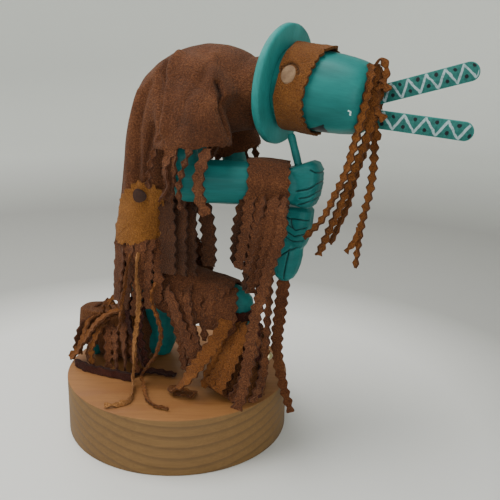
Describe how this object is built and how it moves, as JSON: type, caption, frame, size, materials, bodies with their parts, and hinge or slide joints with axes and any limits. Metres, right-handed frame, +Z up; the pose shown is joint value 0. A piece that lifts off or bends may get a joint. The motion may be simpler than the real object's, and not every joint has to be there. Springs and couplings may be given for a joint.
{
  "type": "kachina doll",
  "caption": "Kneeling, hunched flute player: a carved and painted wooden doll dressed in pinked suede, with a case mask and crest sticks, standing on a round pine base",
  "frame": {"origin": "the centre of the base's underside", "axes": "+Z up, +X the way that the figure faces, +Y its left side"},
  "size_m": [0.2572, 0.1498, 0.2672],
  "materials": {
    "pine": "sanded, unvarnished",
    "turquoise_paint": "brushed matte paint",
    "brown_suede": "napped suede",
    "ochre_suede": "napped suede",
    "red_brown_leather": "matte",
    "dark_leather": "smooth",
    "brass": "dull plated"
  },
  "bodies": {
    "root": {"pine_base": "pine", "carved_figure": "turquoise_paint", "flute": "turquoise_paint", "neck_ruff": "turquoise_paint", "case_mask": "turquoise_paint", "crest_stick_upper": "turquoise_paint", "crest_stick_lower": "turquoise_paint", "mask_band": "ochre_suede", "band_button": "dark_leather", "hair": "ochre_suede", "suede_robe": "brown_suede", "hip_patch": "ochre_suede", "patch_button": "dark_leather", "forearm_drape": "brown_suede", "far_forearm_drape": "brown_suede", "thigh_drape": "brown_suede", "knee_garter": "red_brown_leather", "legging": "ochre_suede", "boot": "brown_suede", "boot_sole": "red_brown_leather", "boot_tongue": "red_brown_leather", "pale_lace": "ochre_suede", "brown_lace": "ochre_suede", "hanging_strip": "brown_suede", "bell_lace": "red_brown_leather", "jingle_bell_1": "brass", "jingle_bell_2": "brass"}
  },
  "joints": []
}
